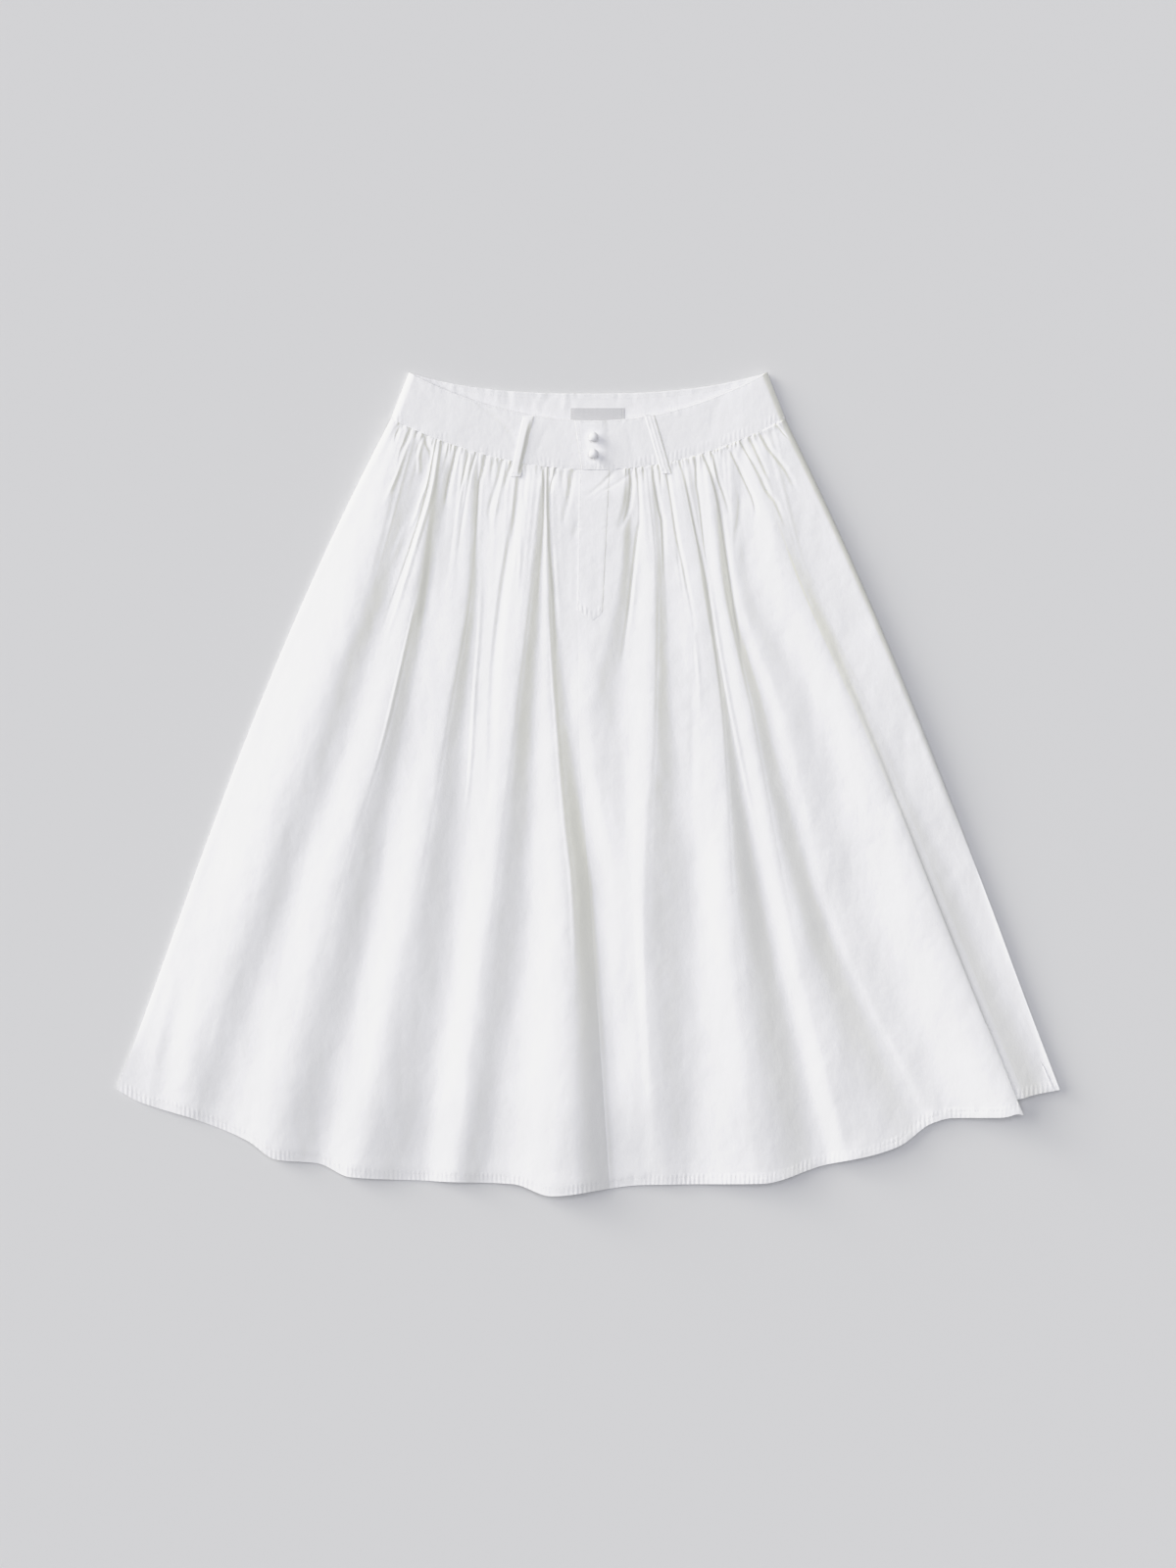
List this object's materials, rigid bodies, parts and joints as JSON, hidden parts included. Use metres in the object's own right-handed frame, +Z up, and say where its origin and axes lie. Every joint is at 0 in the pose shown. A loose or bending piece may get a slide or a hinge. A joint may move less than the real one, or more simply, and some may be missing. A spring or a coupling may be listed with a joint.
{
  "type": "gathered midi skirt laid flat",
  "caption": "Full gathered A-line midi skirt with a shaped waistband and ball-button fly, laid flat on its back.",
  "frame": {"origin": "on the surface the skirt lies on, under the middle of its box", "axes": "+X to the right as laid, along the hem; +Y up towards the waist; +Z up, out of the surface"},
  "size_m": [0.913, 0.797, 0.0213],
  "materials": {
    "cotton": "crisp white cotton poplin, matte with a faint sheen",
    "button": "white cloth-covered ball",
    "label": "pale grey woven ribbon, bare"
  },
  "bodies": {
    "root": {"front_left": "cotton", "front_right": "cotton", "back": "cotton", "band_front_left": "cotton", "band_front_right": "cotton", "band_back": "cotton", "fly_placket": "cotton", "loop_front_left": "cotton", "loop_front_right": "cotton", "loop_back_left": "cotton", "loop_back_right": "cotton", "button_upper": "button", "button_lower": "button", "label": "label"}
  },
  "joints": []
}
